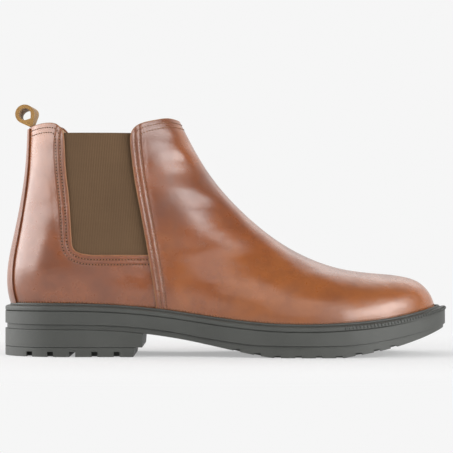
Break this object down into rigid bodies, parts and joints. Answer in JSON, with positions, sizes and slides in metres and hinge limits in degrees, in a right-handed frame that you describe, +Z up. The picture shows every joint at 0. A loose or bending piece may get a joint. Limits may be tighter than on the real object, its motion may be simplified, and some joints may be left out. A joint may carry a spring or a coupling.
{
  "type": "chelsea boot",
  "caption": "Ankle boot with elastic side panels, a pull loop at the heel, a welted rubber sole with a lugged tread and a stacked low heel.",
  "frame": {"origin": "on the ground, in the middle of the sole's length and width", "axes": "+X to the toe, +Y to the inner (medial) side of the right foot, +Z up"},
  "size_m": [0.305, 0.1128, 0.1723],
  "materials": {
    "upper_leather": "polished brown leather with a soft gloss",
    "elastic": "ribbed woven elastic",
    "tab_leather": "unpolished golden tan leather",
    "stiffener": "moulded thermoplastic sheet",
    "backing_cloth": "woven cotton backing",
    "lining_leather": "thin matt lining leather",
    "pad_leather": "thin matt pad leather",
    "cork": "granulated cork paste",
    "fibreboard": "pressed fibre board",
    "steel": "plain steel",
    "sole_rubber": "matt dark grey moulded rubber"
  },
  "bodies": {
    "boot": {"vamp": "upper_leather", "quarter_lateral": "upper_leather", "quarter_medial": "upper_leather", "backstay": "upper_leather", "gore_lateral": "elastic", "gore_medial": "elastic", "pull_tab_tails": "tab_leather", "toe_puff": "stiffener", "heel_counter": "stiffener", "vamp_interlining": "backing_cloth", "vamp_lining": "lining_leather", "quarter_lining": "lining_leather", "filler": "cork", "shank": "steel", "insole_board": "fibreboard", "footbed": "lining_leather", "heel_pad": "pad_leather", "welt": "sole_rubber", "midsole": "sole_rubber", "outsole": "sole_rubber", "heel_block": "sole_rubber", "heel_lift": "sole_rubber", "shank_rivet_1": "steel", "shank_rivet_2": "steel", "heel_nail_1": "steel", "heel_nail_2": "steel", "heel_nail_3": "steel", "heel_nail_4": "steel", "heel_nail_5": "steel"},
    "tab": {"pull_tab": "tab_leather"}
  },
  "joints": [
    {"name": "pull_tab_fold", "type": "hinge", "parent": "boot", "child": "tab", "pos_m": [-0.13515, 0.00021, 0.1597], "axis": [0, 1, 0], "range_deg": [-35, 60], "stiffness_Nm_per_rad": 0.01}
  ]
}
